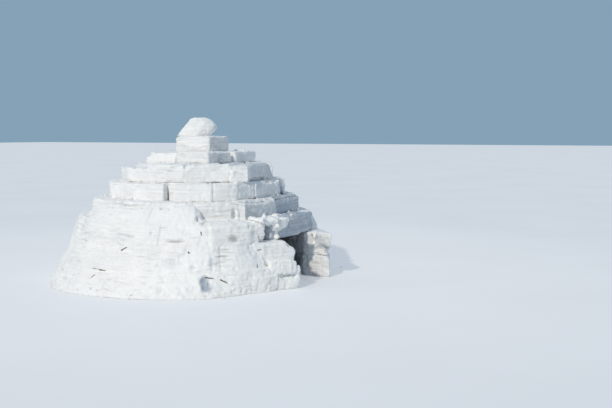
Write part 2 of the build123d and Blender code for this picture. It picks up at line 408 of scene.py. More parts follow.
EDGE_ROUNDS, CRUMBLE_ROUNDS = 3, 14
SWELL, DENT, FLAKE, CREASE = 0.0035, 0.007, 0.004, 0.0055
LAYER, RIDGE, GROOVE, GROOVE_WIDTH = 0.0034, 0.0055, 0.011, 0.007


def worn(points, quads, pairs, seed, wear=1.0, layered=1.0, sawn=None, joints=(), saw_depth=1.0):
    """A skin with crumbled edges, dents, flakes, layers, saw ridges and grooves."""
    soft = relaxed(points, pairs, EDGE_ROUNDS)
    very_soft = relaxed(soft, pairs, CRUMBLE_ROUNDS)
    patchy = 0.3 + 0.7 * ramp(rough(points, 0.09, seed), -0.5, 0.5)
    crumbled = ramp(rough(points, 0.055, seed + 40), 0.05, 0.65) * wear
    points = points + (soft - points) * patchy[:, None]
    points = points + (very_soft - soft) * np.clip(crumbled, 0, 1.5)[:, None]
    out = facing(points, quads)
    swell = SWELL * rough(points, 0.14, seed + 11, 2)
    dents = -DENT * ramp(rough(points, 0.06, seed + 23), 0.45, 0.9)
    flakes = FLAKE * ramp(rough(points, 0.11, seed + 29), -0.03, 0.1) - FLAKE / 2
    push = wear * (swell + dents + flakes) + min(wear, 1) * clumps(points, 0.045, seed + 31, CREASE)
    patches = 0.25 + 0.75 * ramp(bumps(points, 0.3, seed + 50), -0.3, 0.3)
    push -= LAYER * layered * wind_layers(points, seed) * (1 - np.abs(out[:, 2])) * patches
    opened = ramp(rough(points, 0.07, seed + 61), -0.3, 0.6)
    push -= GROOVE * joint_grooves(points, joints, GROOVE_WIDTH) * opened
    if sawn is not None:
        push += RIDGE * saw_depth * saw_ridges(points, out, sawn, seed + 71)
    return points + out * push[:, None]


print("dents:", DENT, "m deep")

# %% [markdown]
# The finish is wind-packed snow: matte, nearly white, with a fine grain. A painted image could show it,
# but noise in the material stays sharp from near. Lines too fine for the mesh are bumps: level wind
# layers, and upright scratches on the sawn faces. The maths is written with a small class, so that a mask
# times a number reads as just that.

# %% Shader maths
class Wire:
    """One output in a node tree. Arithmetic on it adds Math nodes."""

    def __init__(self, tree, socket):
        self.tree = tree
        self.socket = socket

    def node(self, kind, settings, sockets, output=0):
        """Add a node with its settings, and with a value or a link for each socket."""
        made = self.tree.nodes.new("ShaderNode" + kind)
        for name, value in settings.items():
            setattr(made, name, value)
        for name, value in sockets.items():
            if isinstance(value, Wire):
                self.tree.links.new(value.socket, made.inputs[name])
            else:
                made.inputs[name].default_value = value
        return Wire(self.tree, made.outputs[output])

    def sum(self, operation, first, second=0.0):
        """One Math node."""
        return self.node("Math", {"operation": operation}, {0: first, 1: second})

    def __add__(self, other):
        return self.sum("ADD", self, other)

    def __sub__(self, other):
        return self.sum("SUBTRACT", self, other)

    def __rsub__(self, other):
        return self.sum("SUBTRACT", other, self)

    def __mul__(self, other):
        return self.sum("MULTIPLY", self, other)

    __radd__ = __add__
    __rmul__ = __mul__

    def along(self, direction):
        """How far this vector goes in a direction."""
        settings = {"operation": "DOT_PRODUCT"}
        return self.node("VectorMath", settings, {0: self, 1: direction}, 1)

    def size(self):
        """This value without its sign."""
        return self.sum("ABSOLUTE", self)

    def stretched(self, amounts):
        """A place multiplied by direction, which draws a pattern out along the small ones."""
        return self.node("VectorMath", {"operation": "MULTIPLY"}, {0: self, 1: amounts})

    def grain(self, scale, detail=3.0, roughness=0.55):
        """Noise from 0 to 1 at this place."""
        sockets = {"Vector": self, "Scale": scale, "Detail": detail, "Roughness": roughness}
        return self.node("TexNoise", {}, sockets)

    def between(self, low, high):
        """Zero below low and one above high."""
        sockets = {"Value": self, "From Min": low, "From Max": high}
        return self.node("MapRange", {"interpolation_type": "SMOOTHSTEP"}, sockets)

    def tint(self, plain, marked):
        """This mask as a mix of two colours."""
        return self.node("Mix", {"data_type": "RGBA"}, {0: self, 6: plain, 7: marked}, 2)

    def bump(self, strength):
        """This height in metres, as a bumped normal."""
        return self.node("Bump", {}, {"Height": self, "Distance": 1.0, "Strength": strength})


def source(tree, kind, output):
    """What a new node without inputs gives."""
    return Wire(tree, tree.nodes.new("ShaderNode" + kind).outputs[output])


def new_finish(name):
    """A material, its shader, and the place of each point on the igloo."""
    material = bpy.data.materials.new(name)
    material.use_nodes = True
    tree = material.node_tree
    return material, tree.nodes["Principled BSDF"], source(tree, "TexCoord", "Object")


def feed(shader, wires):
    """Link wires to the sockets of a shader."""
    for name, wire in wires.items():
        wire.tree.links.new(wire.socket, shader.inputs[name])


print("a wire can:", [way for way in vars(Wire) if way[0] != "_"])

# %% Colours of the snow
SNOW = (0.945, 0.935, 0.915, 1)
OLD_SNOW = (0.79, 0.79, 0.78, 1)
# Painted shade: a blue grey mixed into the low spots of the grain.
PIT_SHADE_PAINTED = (0.82, 0.845, 0.87, 1)
STAIN = (0.6, 0.59, 0.565, 1)
# Dark stain of layer lines and joints, and painted shadow under the fifth course.
DARK_STAIN_AND_SHADE = (0.432, 0.425, 0.407, 1)
MUDDY_SNOW = (0.42, 0.415, 0.4, 1)
# Painted shade: the blue grey of shade in pits, holes, gaps and cracks, and on faces out of the sun.
PAINTED_SHADE_BLUE = (0.43, 0.475, 0.55, 1)
PACKED_SNOW = (0.965, 0.95, 0.925, 1)
# Painted shade, lighter: the sixth course's face over the door.
PAINTED_HALF_SHADE = (0.7, 0.725, 0.755, 1)
# Painted shade: the fourth course's far face over the door.
PAINTED_SHADE_GREY = (0.52, 0.565, 0.62, 1)
# Painted shade, darkest: the lintel over the door.
PAINTED_DEEP_SHADE = (0.44, 0.5, 0.575, 1)
print("plain snow:", SNOW[:3])

# %% [markdown]
# Layers and scratches are noise squeezed one way. Grey dashes, painted shade in the low spots of the grain,
# smudges and old snow lie over them, and then come marks, some of them stains and some painted shade: each
# is a soft round spot, or a stack of short lines where it follows the layers.
# Each finish could be built on its own, but all of them are the same snow, so one function makes them with
# other amounts.

# %% Snow finish
LAYERS, SCRATCHES, DASHES, CROWDS = (2.2, 2.2, 58), (44, 44, 4.5), (9, 9, 62), (3, 3, 6)
FINE_GRAIN, MIDDLE_GRAIN, WIDE_GRAIN, SMUDGE_GRAIN = 240, 36, 6.0, 7.5
DASH_DEPTH = 0.002
FLATTENED = 8
SHEEN = 0.3
TO_DOOR, TO_SUN = (0, -1, 0), (-1, 0, 0)


def snow(name, layer_depth, scratch_depth, grain_depth, sawn=TO_DOOR, plain=SNOW, stained=0.35, even=0.2,
         dashed=0.6, painted_pit_shade=0.45, marks=()):
    """Wind-packed snow: the depths of its layers, scratches and grain, and how marked it is."""
    material, shader, where = new_finish(name)
    faces = source(where.tree, "NewGeometry", "Normal")
    upright = 1 - faces.along((0, 0, 1)).size().between(0.4, 0.8)
    sawn_face = faces.along(sawn).between(0.5, 0.85)
    layers = where.stretched(LAYERS).grain(1.0, 4.0, 0.62).between(0.42, 0.62)
    layered = where.grain(2.6, 1.0).between(0.38, 0.6) * (1 - even) + even
    scratches = where.stretched(SCRATCHES).grain(1.0, 4.0, 0.62).between(0.3, 0.7)
    fine = where.grain(FINE_GRAIN, 4.0, 0.7)
    middle = where.grain(MIDDLE_GRAIN, 5.0, 0.62)
    wide = where.grain(WIDE_GRAIN, 4.0, 0.55)
    dash = where.stretched(DASHES).grain(1.0, 2.5, 0.5).between(0.56, 0.68)
    dash = dash * where.stretched(CROWDS).grain(1.0, 2.0, 0.5).between(0.38, 0.62) * upright
    height = layers * upright * layered * layer_depth
    height = height + scratches * sawn_face * scratch_depth
    height = height + fine * grain_depth + middle * (grain_depth * 4.0) - dash * DASH_DEPTH
    old = (1 - layers) * upright * layered * 0.5 + wide.between(0.5, 0.75) * 0.3
    colour = old.tint(plain, OLD_SNOW)
    colour = (dash * dashed).tint(colour, STAIN)
    for place, reach, strength, mark, lined in marks:
        level = 1 + FLATTENED * lined
        flat = where.stretched((1, 1, level))
        place = (place[0], place[1], place[2] * level)
        apart = where.node("VectorMath", {"operation": "DISTANCE"}, {0: flat, 1: place}, 1)
        near = (1 - apart * (1 / reach) + (middle - 0.5) * 0.6).between(0.1, 0.7)
        colour = (near * (1 - lined + layers * lined) * strength).tint(colour, mark)
    # Painted shade in the low spots of the grain, where the bump is lowest.
    colour = ((1 - middle.between(0.3, 0.52)) * painted_pit_shade).tint(colour, PIT_SHADE_PAINTED)
    smudge = where.grain(SMUDGE_GRAIN, 3.0, 0.6).between(0.64, 0.74) * middle.between(0.35, 0.6)
    colour = (smudge * stained).tint(colour, STAIN)
    feed(shader, {"Base Color": colour, "Roughness": 0.55 + fine * 0.3, "Normal": height.bump(0.9)})
    shader.inputs["Specular IOR Level"].default_value = SHEEN
    return material

# %% Marks seen from the camera
# Each row: across and down the picture, reach in metres, strength, and for the smudges and painted shade
# the colour and how far it follows the layers.
# Painted shade on the right part of the far jamb's head.
PAINTED_JAMB_SHADE_SPOTS = [(317, 237, 0.06, 0.45), (322, 243, 0.06, 0.5), (326, 248, 0.06, 0.8)]
# Dark layer lines and joints in the packed snow. The wide one at 131, 205, under the fifth course, is also
# painted shadow there.
STREAKS = [
    (224, 249.5, 0.085, 0.9), (227, 252.8, 0.07, 0.9), (223, 256.3, 0.08, 0.9),
    (226, 260, 0.07, 0.85), (220, 266.5, 0.055, 0.7), (232.5, 275, 0.06, 0.5),
    (175.5, 241.8, 0.11, 0.8), (168, 239.8, 0.06, 0.5), (174, 254.3, 0.13, 0.5),
    (162.5, 228.2, 0.06, 0.5), (194.5, 238, 0.055, 0.6), (150, 271, 0.06, 0.3),
    (111, 231, 0.07, 0.3), (177.5, 214.5, 0.05, 0.8), (177.5, 219.5, 0.05, 0.7),
    (143.5, 277, 0.07, 0.5), (161.5, 283, 0.06, 0.5), (131, 205, 0.15, 0.6),
]
# The blue grey rows are painted shade in the packed snow's pit, holes, dents and cracks. The muddy row and
# the row at 190, 246 are stains, and the wide weak row at 84, 274 darkens the left foot of the bank a
# little.
SMUDGES_AND_PAINTED_SHADE = [
    (232.6, 237.8, 0.07, 1.0, MUDDY_SNOW, 0.05), (203.8, 281.5, 0.06, 0.9, PAINTED_SHADE_BLUE, 0.0),
    (206.3, 288.5, 0.06, 1.0, PAINTED_SHADE_BLUE, 0.0), (193, 267.5, 0.045, 0.35, PAINTED_SHADE_BLUE, 0.1),
    (167, 263, 0.11, 0.18, PAINTED_SHADE_BLUE, 0.1), (84, 274, 0.4, 0.12, STAIN, 0.1),
    (198.5, 216, 0.055, 0.55, PAINTED_SHADE_BLUE, 0.0), (206.5, 212.5, 0.05, 0.3, PAINTED_SHADE_BLUE, 0.0),
    (212.5, 262.5, 0.065, 0.28, PAINTED_SHADE_BLUE, 0.0), (222, 241, 0.14, 0.2, PAINTED_SHADE_BLUE, 0.2),
    (121, 236, 0.14, 0.12, PAINTED_SHADE_BLUE, 0.1), (97, 233.5, 0.12, 0.12, PAINTED_SHADE_BLUE, 0.1),
    (190, 246, 0.12, 0.13, STAIN, 0.05),
]
SUNK = 0.98
solid_surface = as_surface([nodes[n] for n in sorted(nodes)])


def mark_at(x, y, reach, strength, colour, lined, share=1.0):
    """A mark on the solids at a point of the picture, or at a share of the way out to it."""
    return tuple(seen_at(solid_surface, x, y) * share), reach, strength, colour, lined


# Painted shade: blue grey patches on the far jamb's head.
painted_jamb_shade = [mark_at(*spot, PAINTED_SHADE_BLUE, 0.0) for spot in PAINTED_JAMB_SHADE_SPOTS]
# Painted shadow: blue grey at the far end of the fifth course over the door, where the notch is.
painted_notch_shadow = [((0.365, -0.655, z), 0.085, 1.0, PAINTED_SHADE_BLUE, 0.0) for z in (0.715, 0.76)]
# Painted light: the sunlit near corner of the sixth course over the door keeps plain snow, where the rest of
# its finish is painted shade.
painted_lit_corner = [
    ((x, y, z), 0.125, 1.0, SNOW, 0.0) for x, y in ((-0.275, -0.555), (-0.225, -0.605)) for z in (0.86, 0.93)
]
packed_marks = [mark_at(*streak, DARK_STAIN_AND_SHADE, 0.8) for streak in STREAKS]
packed_marks += [mark_at(*smudge, SUNK) for smudge in SMUDGES_AND_PAINTED_SHADE]
# Painted shade: a grey mark in the hollow of the fifth course's open joint.
packed_marks.append(((-0.625, -0.19, 0.76), 0.075, 0.45, OLD_SNOW, 0.0))
print("marks on the packed snow:", len(packed_marks))

# %% Finishes
trimmed = snow("trimmed_snow", 0.0024, 0.0, 0.0009)
sawn_to_door = snow("sawn_snow", 0.002, 0.0045, 0.0009, marks=painted_notch_shadow)
sawn_to_sun = snow("sunned_snow", 0.0016, 0.005, 0.001, sawn=TO_SUN, marks=painted_jamb_shade)
layered_finish = snow("layered_snow", 0.0045, 0.004, 0.0009, even=0.9)
packed_finish = snow(
    "packed_snow", 0.0022, 0.0, 0.0013, plain=PACKED_SNOW, dashed=0.5, painted_pit_shade=0.2, marks=packed_marks)
pitted_painted_shade_finish = snow(
    "pitted_painted_shade_snow", 0.0022, 0.002, 0.0028, plain=PAINTED_HALF_SHADE, even=0.5, marks=painted_lit_corner)
mottled_finish = snow("mottled_snow", 0.0022, 0.0015, 0.0028, plain=PACKED_SNOW, even=0.5)
painted_shade_finish = snow("painted_shade_snow", 0.0026, 0.001, 0.0024, plain=PAINTED_SHADE_GREY, even=0.5)
painted_deep_shade_finish = snow("painted_deep_shade_snow", 0.0026, 0.001, 0.0024, plain=PAINTED_DEEP_SHADE, even=0.5)
lump_finish = snow("broken_snow", 0.0006, 0.0, 0.0018, stained=0.1, dashed=0.0)
print("finishes:", [material.name for material in bpy.data.materials])

# %% [markdown]
# Now the blocks. One mesh for the whole wall would be simpler, but then no course could be moved. So every
# CAD node of the blocks is replaced by one piece that holds the same blocks. A few are rougher, more
# layered, sawn on another side or turned a little, as in the photo. A bite is a lump broken out, and a top
# is an upper edge that has crumbled between two angles.

# %% How the single pieces differ
low_4, high_4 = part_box("fourth_course_near_door")
low_5, high_5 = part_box("fifth_course_near_door")
OWN = {
    "base_course_front": dict(bites=[((-0.905, -0.69, 0.095), (0.11, 0.11, 0.14), 0.035)]),
    "near_jamb_base": dict(wear=1.1, bites=[
        ((-0.405, -1.08, 0.11), (0.045, 0.045, 0.024), 0.036),
        ((-0.35, -1.12, 0.108), (0.09, 0.09, 0.013), 0.03),
    ]),
    "far_jamb_base": dict(wear=1.6, sawn=TO_SUN),
    "second_course_front": dict(wear=1.3),
    "near_jamb_head": dict(wear=0.9, layers=0.4, bites=[((-0.27, -1.1, 0.38), (0.09, 0.1, 0.06), 0.05)]),
    "far_jamb_head": dict(wear=1.3, layers=0.3, sawn=TO_SUN, bites=[
        ((0.28, -0.985, 0.345), (0.06, 0.03, 0.09), 0.06),
        ((0.28, -1.09, 0.218), (0.08, 0.13, 0.055), 0.036),
    ]),
    "third_course_front": dict(wear=1.3, layers=1.5),
    # The lintel's finish is dark blue grey snow: painted shade.
    "door_lintel": dict(wear=1.4, finish=painted_deep_shade_finish),
    "fourth_course_front": dict(wear=1.25, bites=[
        ((-0.733, -0.501, 0.575), (0.035, 0.035, 0.05), 0.035),
        ((-0.536, -0.713, 0.585), (0.03, 0.03, 0.06), 0.035),
    ]),
    "fourth_course_left": dict(wear=1.4),
    "fourth_course_near_door": dict(
        sawn=TO_DOOR, saw_depth=0.35, turned=-1.5, finish=mottled_finish,
        bites=[((-0.25, low_4.y, high_4.z), (0.4, 0.05, 0.042), 0.022)]),
    # Its finish is darker, bluer snow: painted shade.
    "fourth_course_far_door": dict(
        sawn=TO_DOOR, saw_depth=0.15, finish=painted_shade_finish,
        bites=[((0.2, low_4.y, high_4.z), (0.4, 0.05, 0.042), 0.022)]),
    "fifth_course_front": dict(whole=True),
    "fifth_course_left": dict(wear=1.3, top=(-262, -226, 0.7, 0.805)),
    "fifth_course_near_door": dict(
        sawn=TO_DOOR, saw_depth=0.3, turned=-5.0, whole=True,
        bites=[((-0.27, low_5.y, high_5.z), (0.25, 0.04, 0.03), 0.015)]),
    "fifth_course_far_door": dict(sawn=TO_DOOR, saw_depth=0.4, steady=0.2, bites=[
        ((0.39, -0.64, 0.77), (0.12, 0.12, 0.14), 0.055),
        ((0.1, low_5.y, high_5.z), (0.35, 0.045, 0.032), 0.018),
    ]),
    "sixth_course_back": dict(top=(-280, -200, 0.5, 0.925)),
    "sixth_course_front": dict(layers=0.7, top=(-216, -181, 0.5, 0.928)),
    # Its finish is pitted snow coloured darker and bluer, painted shade, except at the sunlit near corner.
    "sixth_course_over_door": dict(sawn=TO_DOOR, saw_depth=0.5, finish=pitted_painted_shade_finish, bites=[
        ((0.24, -0.6, 0.985), (0.13, 0.16, 0.13), 0.05),
        ((-0.01, -0.635, 0.828), (0.21, 0.06, 0.03), 0.04),
    ]),
    "seventh_course_near_back": dict(wear=1.7),
    "seventh_course_near_door": dict(layers=1.6, sawn=TO_DOOR, whole=True, finish=layered_finish),
    "seventh_course_far_door": dict(wear=0.45, sawn=TO_DOOR, saw_depth=0.1, steady=0.5, whole=True),
    "closing_slab": dict(layers=1.6, sawn=TO_DOOR, turned=4.0, whole=True, finish=layered_finish),
}
BY_SAW = {None: trimmed, TO_DOOR: sawn_to_door, TO_SUN: sawn_to_sun}
FALLEN = 0.88
print("pieces of their own kind:", len(OWN))


def top_broken(points, first, last, reach, height):
    """A skin with its upper edge broken down to a height beyond a reach, between two angles."""
    within = stretch(turn_of(points), first, first + 6, last - 5, last)
    within = within * ramp(np.hypot(points[:, 0], points[:, 1]), reach - 0.03, reach + 0.04)
    limit = height + 0.012 * rough(points * np.array([1, 1, 0]), 0.05, 9, 2)
    over = np.maximum(points[:, 2] - limit, 0) * within
    return points - over[:, None] * np.array([0, 0, FALLEN])


def bitten(points, quads, bites):
    """A skin with lumps broken out, each given by its middle, its reach and its depth."""
    for middle, reach, depth in bites:
        away = np.linalg.norm((points - np.array(middle)) / np.array(reach), axis=1)
        away = away + 0.2 * rough(points, 0.04, 17, 2)
        points = points - facing(points, quads) * (depth * ramp(-away, -1.0, -0.35))[:, None]
    return points


def piece(name, points, faces, material, slot, stands_for):
    """A finished mesh object that rides on the igloo and stands for CAD nodes."""
    mesh = bpy.data.meshes.new(name)
    mesh.from_pydata([tuple(p) for p in points], [], [tuple(f) for f in faces])
    mesh.polygons.foreach_set("use_smooth", [True] * len(mesh.polygons))
    mesh.materials.append(material)
    made = bpy.data.objects.new(name, mesh)
    bpy.context.scene.collection.objects.link(made)
    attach(made, "root")
    if stands_for:
        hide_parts(*stands_for)
    return made


def joined(parts):
    """Several meshes, each as points and faces, as one."""
    points, faces, start = [], [], 0
    for these_points, these_faces in parts:
        points.append(these_points)
        faces += [tuple(start + v for v in face) for face in these_faces]
        start += len(these_points)
    return np.concatenate(points), faces

# %% Dress every block
KEPT_LOW, KEPT_HIGH = (np.array(corner) for corner in cad_bounds)
OVERHANG = 0.004
CORNER_BREAK = 0.045


def dressed(node):
    """The weathered copy of every block in a node, as one piece."""
    own = OWN.get(node, {})
    sawn = own.get("sawn")
    seed = sum(ord(c) * (k + 1) for k, c in enumerate(node)) % 9973
    parts = []
    for number, (points, faces) in enumerate(blocks_of(node)):
        points = laid(points, seed + 101 * number, own.get("steady", 1.0), own.get("turned", 0.0))
        if "whole" not in own:
            points, faces = broken(points, faces, seed + 37 * number, CORNER_BREAK)
        parts.append((points, faces))
    skin, quads, pairs = even_skin(*joined(parts))
    joints = joints_of([node]) if "course" in node else ()
    wear, layers, saw_depth = (own.get(way, 1.0) for way in ("wear", "layers", "saw_depth"))
    skin = worn(skin, quads, pairs, seed, wear, layers, sawn, joints, saw_depth)
    if "top" in own:
        skin = top_broken(skin, *own["top"])
    skin = bitten(skin, quads, own.get("bites", ()))
    skin = np.clip(skin, KEPT_LOW - OVERHANG, KEPT_HIGH + OVERHANG)
    skin[:, 2] = np.maximum(skin[:, 2], 0)
    return piece("snow_" + node, skin, quads, own.get("finish", BY_SAW[sawn]), "snow_block", [node])


block_nodes = sorted(n for n in nodes if not n.startswith("packed_snow") and n != "cap_lump")
triangles = sum(2 * len(dressed(node).data.polygons) for node in block_nodes)
print("block pieces:", len(block_nodes), "triangles:", triangles)

# %% [markdown]
# The lump on top was broken off, not sawn. It could be a ball pushed out of shape, but made from its solid
# it keeps its size and place. It gets a finer skin, is rounded, and is worn like the rest. Then its foot
# is drawn out to the camera's left, and its head to the right.

# %% Lump on top
FINER_SKIN = 0.007
LUMP_ROUNDS, LUMP_SWELL, LUMP_WEAR = 12, 0.009, 1.2
FOOT_OUT, HEAD_OUT = 0.22, 0.18
(lump_points, lump_faces), = blocks_of("cap_lump")
skin, quads, pairs = even_skin(lump_points, lump_faces, FINER_SKIN)
swollen = (LUMP_SWELL * rough(skin, 0.09, 12, 3))[:, None]
skin = relaxed(skin, pairs, LUMP_ROUNDS) + facing(skin, quads) * swollen
skin = worn(skin, quads, pairs, 77, LUMP_WEAR, 0.0)
leftwards = np.array([-math.cos(math.radians(LOOK_TURN)), math.sin(math.radians(LOOK_TURN)), 0])
lump_low, lump_high = skin[:, 2].min(), skin[:, 2].max()
share = (skin[:, 2] - lump_low) / (lump_high - lump_low)
aside = skin @ leftwards
aside = aside - aside.mean()
skin = skin + np.outer(np.maximum(aside, 0) * FOOT_OUT * (1 - share), leftwards)
skin = skin + np.outer(np.minimum(aside, 0) * HEAD_OUT * ramp(share, 0.1, 0.5), leftwards)
skin = np.minimum(skin, KEPT_HIGH)
piece("snow_cap_lump", skin, quads, lump_finish, "loose_snow", ["cap_lump"])
print("lump points:", len(skin))

# %% [markdown]
# The snow packed on the three lowest courses runs on without a joint, so one sheet stands for its five
# solids. A remesh of the solids would show where they end. So it is a grid round the dome: a line from the
# toe up over the corners of the courses is swept round, then pushed in and out. Towards the doorway the
# line dives into the blocks, so no end shows.

# %% Sizes of the packed snow, read from the frame
LOW_COURSES = ("base", "second", "third", "fourth")
BESIDE = 0.006


def widest(node):
    """How far a node reaches from the dome's axis."""
    return max(math.hypot(v.co.x, v.co.y) for v in nodes[node].data.vertices)


radius_1, radius_2, radius_3, radius_4 = (widest(course + "_course_left") for course in LOW_COURSES)
top_1, top_2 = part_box("base_course_left")[1].z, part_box("second_course_left")[1].z
top_3, top_4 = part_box("third_course_left")[1].z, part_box("fourth_course_left")[1].z
packed_nodes = sorted(n for n in nodes if n.startswith("packed_snow"))
packed_solids = as_surface([nodes[n] for n in packed_nodes])


def round_dome(reach, turn, height):
    """A place given by its distance from the dome's axis, angle and height."""
    return Vector((reach * math.cos(turn), reach * math.sin(turn), height))


def reach_of(angle, height):
    """How far the packed solids reach, or nothing where they have a gap."""
    outward = round_dome(1, math.radians(angle), 0)
    place = packed_solids.ray_cast(outward * 2 + Vector((0, 0, height)), -outward)[0]
    return math.hypot(place.x, place.y) if place else math.nan


def heaped_to(angle):
    """How high the packed solids are heaped against the fourth course."""
    above = round_dome(radius_4 + BESIDE, math.radians(angle), 1)
    place = packed_solids.ray_cast(above, Vector((0, 0, -1)))[0]
    return place.z if place else math.nan


print("courses:", [round(r, 3) for r in (radius_1, radius_2, radius_3, radius_4)])
print("heap on the left, m high:", heaped_to(-203))

# %% [markdown]
# The line has eight corners. The lower ones are measured on the packed solids with rays, because the snow
# should bulge where the model does. On the left the line is drawn up the fourth course. Four angles tell
# where such a stretch starts, is full, starts to fade and ends.

# %% Line of the packed snow
SHEET_STEP = 0.0085
SHEET_START, SHEET_END = -420, -110
END_HEIGHTS = [0.0, 0.16, 0.2, 0.34, 0.39, 0.6]
NEAR_ENDS = [-110.5, -111, -119.5, -119.5, -118.5, -118.5]
FAR_END = -412
END_DIP, END_DIVE, LEFT_DIP = 0.03, 0.14, 0.03
DIP_ANGLES, DIP_HEIGHTS = (-246, -236, -214, -200), (0.14, 0.24, 0.5, 0.56)
HEAP_ANGLES, HIGH_ANGLES = (-262, -240, -156, -128), (-240, -232, -147.5, -142.5)
HOLLOW_ANGLES = (-246, -238, -217, -204)
UNDER, FOOT_FOLD, LEDGE, COVER = 0.003, 0.06, 0.013, 0.012
SMOOTHING, FOLD_ROUNDS = 30, 7


def measured(angles, measure):
    """Something measured on the packed solids at each angle, carried on and smoothed."""
    found = np.array([measure(angle) for angle in angles])
    known = np.isfinite(found)
    values = np.interp(angles, angles[known], found[known])
    for _ in range(SMOOTHING):
        values = np.convolve(np.pad(values, 1, mode="edge"), (0.25, 0.5, 0.25), mode="valid")
    return values


def sheet_dive(angles, heights):
    """How far the packed snow dives into the blocks, which is deep past its ends."""
    places = side_by_side(angles / 10, heights / 0.09, 3.3)
    ragged = 1.6 * rough(places, 1.0, 91, 2)
    near_end = np.interp(heights, END_HEIGHTS, NEAR_ENDS) - angles
    inside = np.minimum(angles - FAR_END, near_end) + ragged
    left = stretch(angles, *DIP_ANGLES) * stretch(heights, *DIP_HEIGHTS)
    return END_DIP * (1 - ramp(inside, 0.0, 6.0)) + END_DIVE * ramp(-inside, 0.5, 5.0) + LEFT_DIP * left


def sheet_line(angles):
    """Corners of the packed snow at each angle, from its toe up."""
    low = top_3 - LEDGE
    heap = np.maximum(measured(angles, heaped_to) - low, 0) * stretch(angles, *HEAP_ANGLES)
    places = side_by_side(angles / 6.0, 0.0, 0.0)
    ragged = 0.016 * rough(places, 0.7, 3) * ramp(heap, 0.0, 0.05)
    corners = (UNDER, FOOT_FOLD, top_1 - UNDER, top_2 - UNDER, low)
    radii = [measured(angles, lambda angle: reach_of(angle, height)) for height in corners]
    high, hollow = stretch(angles, *HIGH_ANGLES), stretch(angles, *HOLLOW_ANGLES)
    shoulder = radius_3 - 0.045 + 0.012 * high
    radii += [shoulder + (radius_4 + 0.018 - shoulder) * hollow]
    radii += [radius_4 + 0.008 * high, radius_4 - 0.05]
    shoulder = np.maximum(low + 0.5 * heap, top_3 + 0.004)
    shoulder += (low + 0.078 - shoulder) * high * (1 - hollow) - 0.02 * hollow
    end = np.maximum(low + heap, top_3 + COVER)
    end += (top_4 - 0.022 - end) * high + 0.4 * ragged
    heights = side_by_side(0.0, FOOT_FOLD, top_1, top_2, low, shoulder, end, end + 0.015)
    return side_by_side(*radii), heights


columns = int(math.radians(SHEET_END - SHEET_START) * radius_1 / SHEET_STEP)
angles = np.linspace(SHEET_START, SHEET_END, columns)
radii, heights = sheet_line(angles)
steps = np.hypot(np.diff(radii.mean(0)), np.diff(heights.mean(0)))
length = np.concatenate([[0], np.cumsum(steps)])
along = np.linspace(0, length[-1], int(length[-1] / SHEET_STEP))
radii, heights = (np.stack([np.interp(along, length, row) for row in grid]) for grid in (radii, heights))
for _ in range(FOLD_ROUNDS):
    for grid in (radii, heights):
        grid[:, 1:-1] = 0.5 * grid[:, 1:-1] + 0.25 * (grid[:, :-2] + grid[:, 2:])
columns, rows = radii.shape
print("packed snow grid:", columns, "by", rows)

# %% [markdown]
# Handfuls and broken bits of block were pressed on and patted flat, so the wall under them still reads:
# one block stands a little prouder than the next, and level layers break off at different lengths. Even
# noise alone would look like plaster. So the relief is made of an offset for each block, short broken
# layers, faint joints, and a few dents.

# %% Relief of the packed snow
course_joints = [joints_of(course_nodes(course)) for course in LOW_COURSES]
BLOCK_PUSH, JOINT_DIP, COURSE_DIP = 0.007, 0.008, 0.006
WAVES, SWELLS, DENTS, WIND = 0.005, 0.0075, 0.007, 0.006
LONG_BITS, SHORT_BITS = 0.004, 0.0036
CREASES, FOOT_CREASES = 0.0045, 0.014
DRAWN_OUT, FLATTER = np.array([0.45, 0.45, 1.0]), np.array([0.8, 0.8, 1.0])


def block_marks(angles, points):
    """The push and the layering that each point has from the block under it."""
    push, layered = np.zeros(len(points)), np.zeros(len(points))
    bottom = 0.0
    for number, (top, joints) in enumerate(zip((top_1, top_2, top_3, top_4), course_joints)):
        inside = (points[:, 2] >= bottom) & (points[:, 2] < top)
        which = np.searchsorted(joints, angles[inside])
        cells = side_by_side(which, number, 7)
        push[inside] = BLOCK_PUSH * corner_numbers(cells, 12)
        layered[inside] = 0.5 + 0.5 * corner_numbers(cells, 19)
        dips = joint_grooves(points[inside], joints, 0.008)
        push[inside] -= JOINT_DIP * dips * ramp(rough(points[inside], 0.12, 83), 0.0, 0.5)
        bottom = top
    return push, layered


def broken_layers(angles, points, length, height, seed):
    """A number from -1 to 1 for each short stretch of each level layer."""
    level = points[:, 2] / height + 0.5 * bumps(points, 0.35, seed)
    row = np.floor(level).astype(np.int64)
    shift = corner_numbers(side_by_side(row, 0, 2), seed)
    along = np.radians(angles) * radius_1 / length + 5 * shift + 0.2 * bumps(points, 0.03, seed + 1)
    return corner_numbers(side_by_side(np.floor(along).astype(np.int64), row, 9), seed + 2)


def relief(angles, points):
    """How far each point of the packed snow is pushed out."""
    push, layered = block_marks(angles, points)
    drawn = points * DRAWN_OUT
    quiet = 0.35 + 0.65 * ramp(rough(drawn, 0.13, 64, 2), -0.3, 0.4)
    push += WAVES * rough(drawn, 0.12, 5, 2) + SWELLS * rough(points * FLATTER, 0.2, 6, 2)
    push += LONG_BITS * quiet * broken_layers(angles, points, 0.15, 0.046, 51)
    push += SHORT_BITS * quiet * broken_layers(angles, points, 0.07, 0.024, 57)
    push -= DENTS * ramp(rough(points, 0.05, 15), 0.55, 1.0)
    push -= WIND * quiet * layered * wind_layers(points, 2, 0.022)
    away = np.min([np.abs(points[:, 2] - joint) for joint in (top_1, top_2, top_3 - 0.01)], axis=0)
    push -= COURSE_DIP * np.exp(-((away / 0.009) ** 2)) * ramp(rough(drawn, 0.08, 88), 0.0, 0.4)
    push += clumps(points, 0.035, 44, CREASES)
    push += clumps(points, 0.07, 46, FOOT_CREASES) * (1 - ramp(points[:, 2], 0.03, 0.16))
    return push * ramp(points[:, 2], 0.0, 0.02)


print("joints under the packed snow:", sum(len(joints) for joints in course_joints))

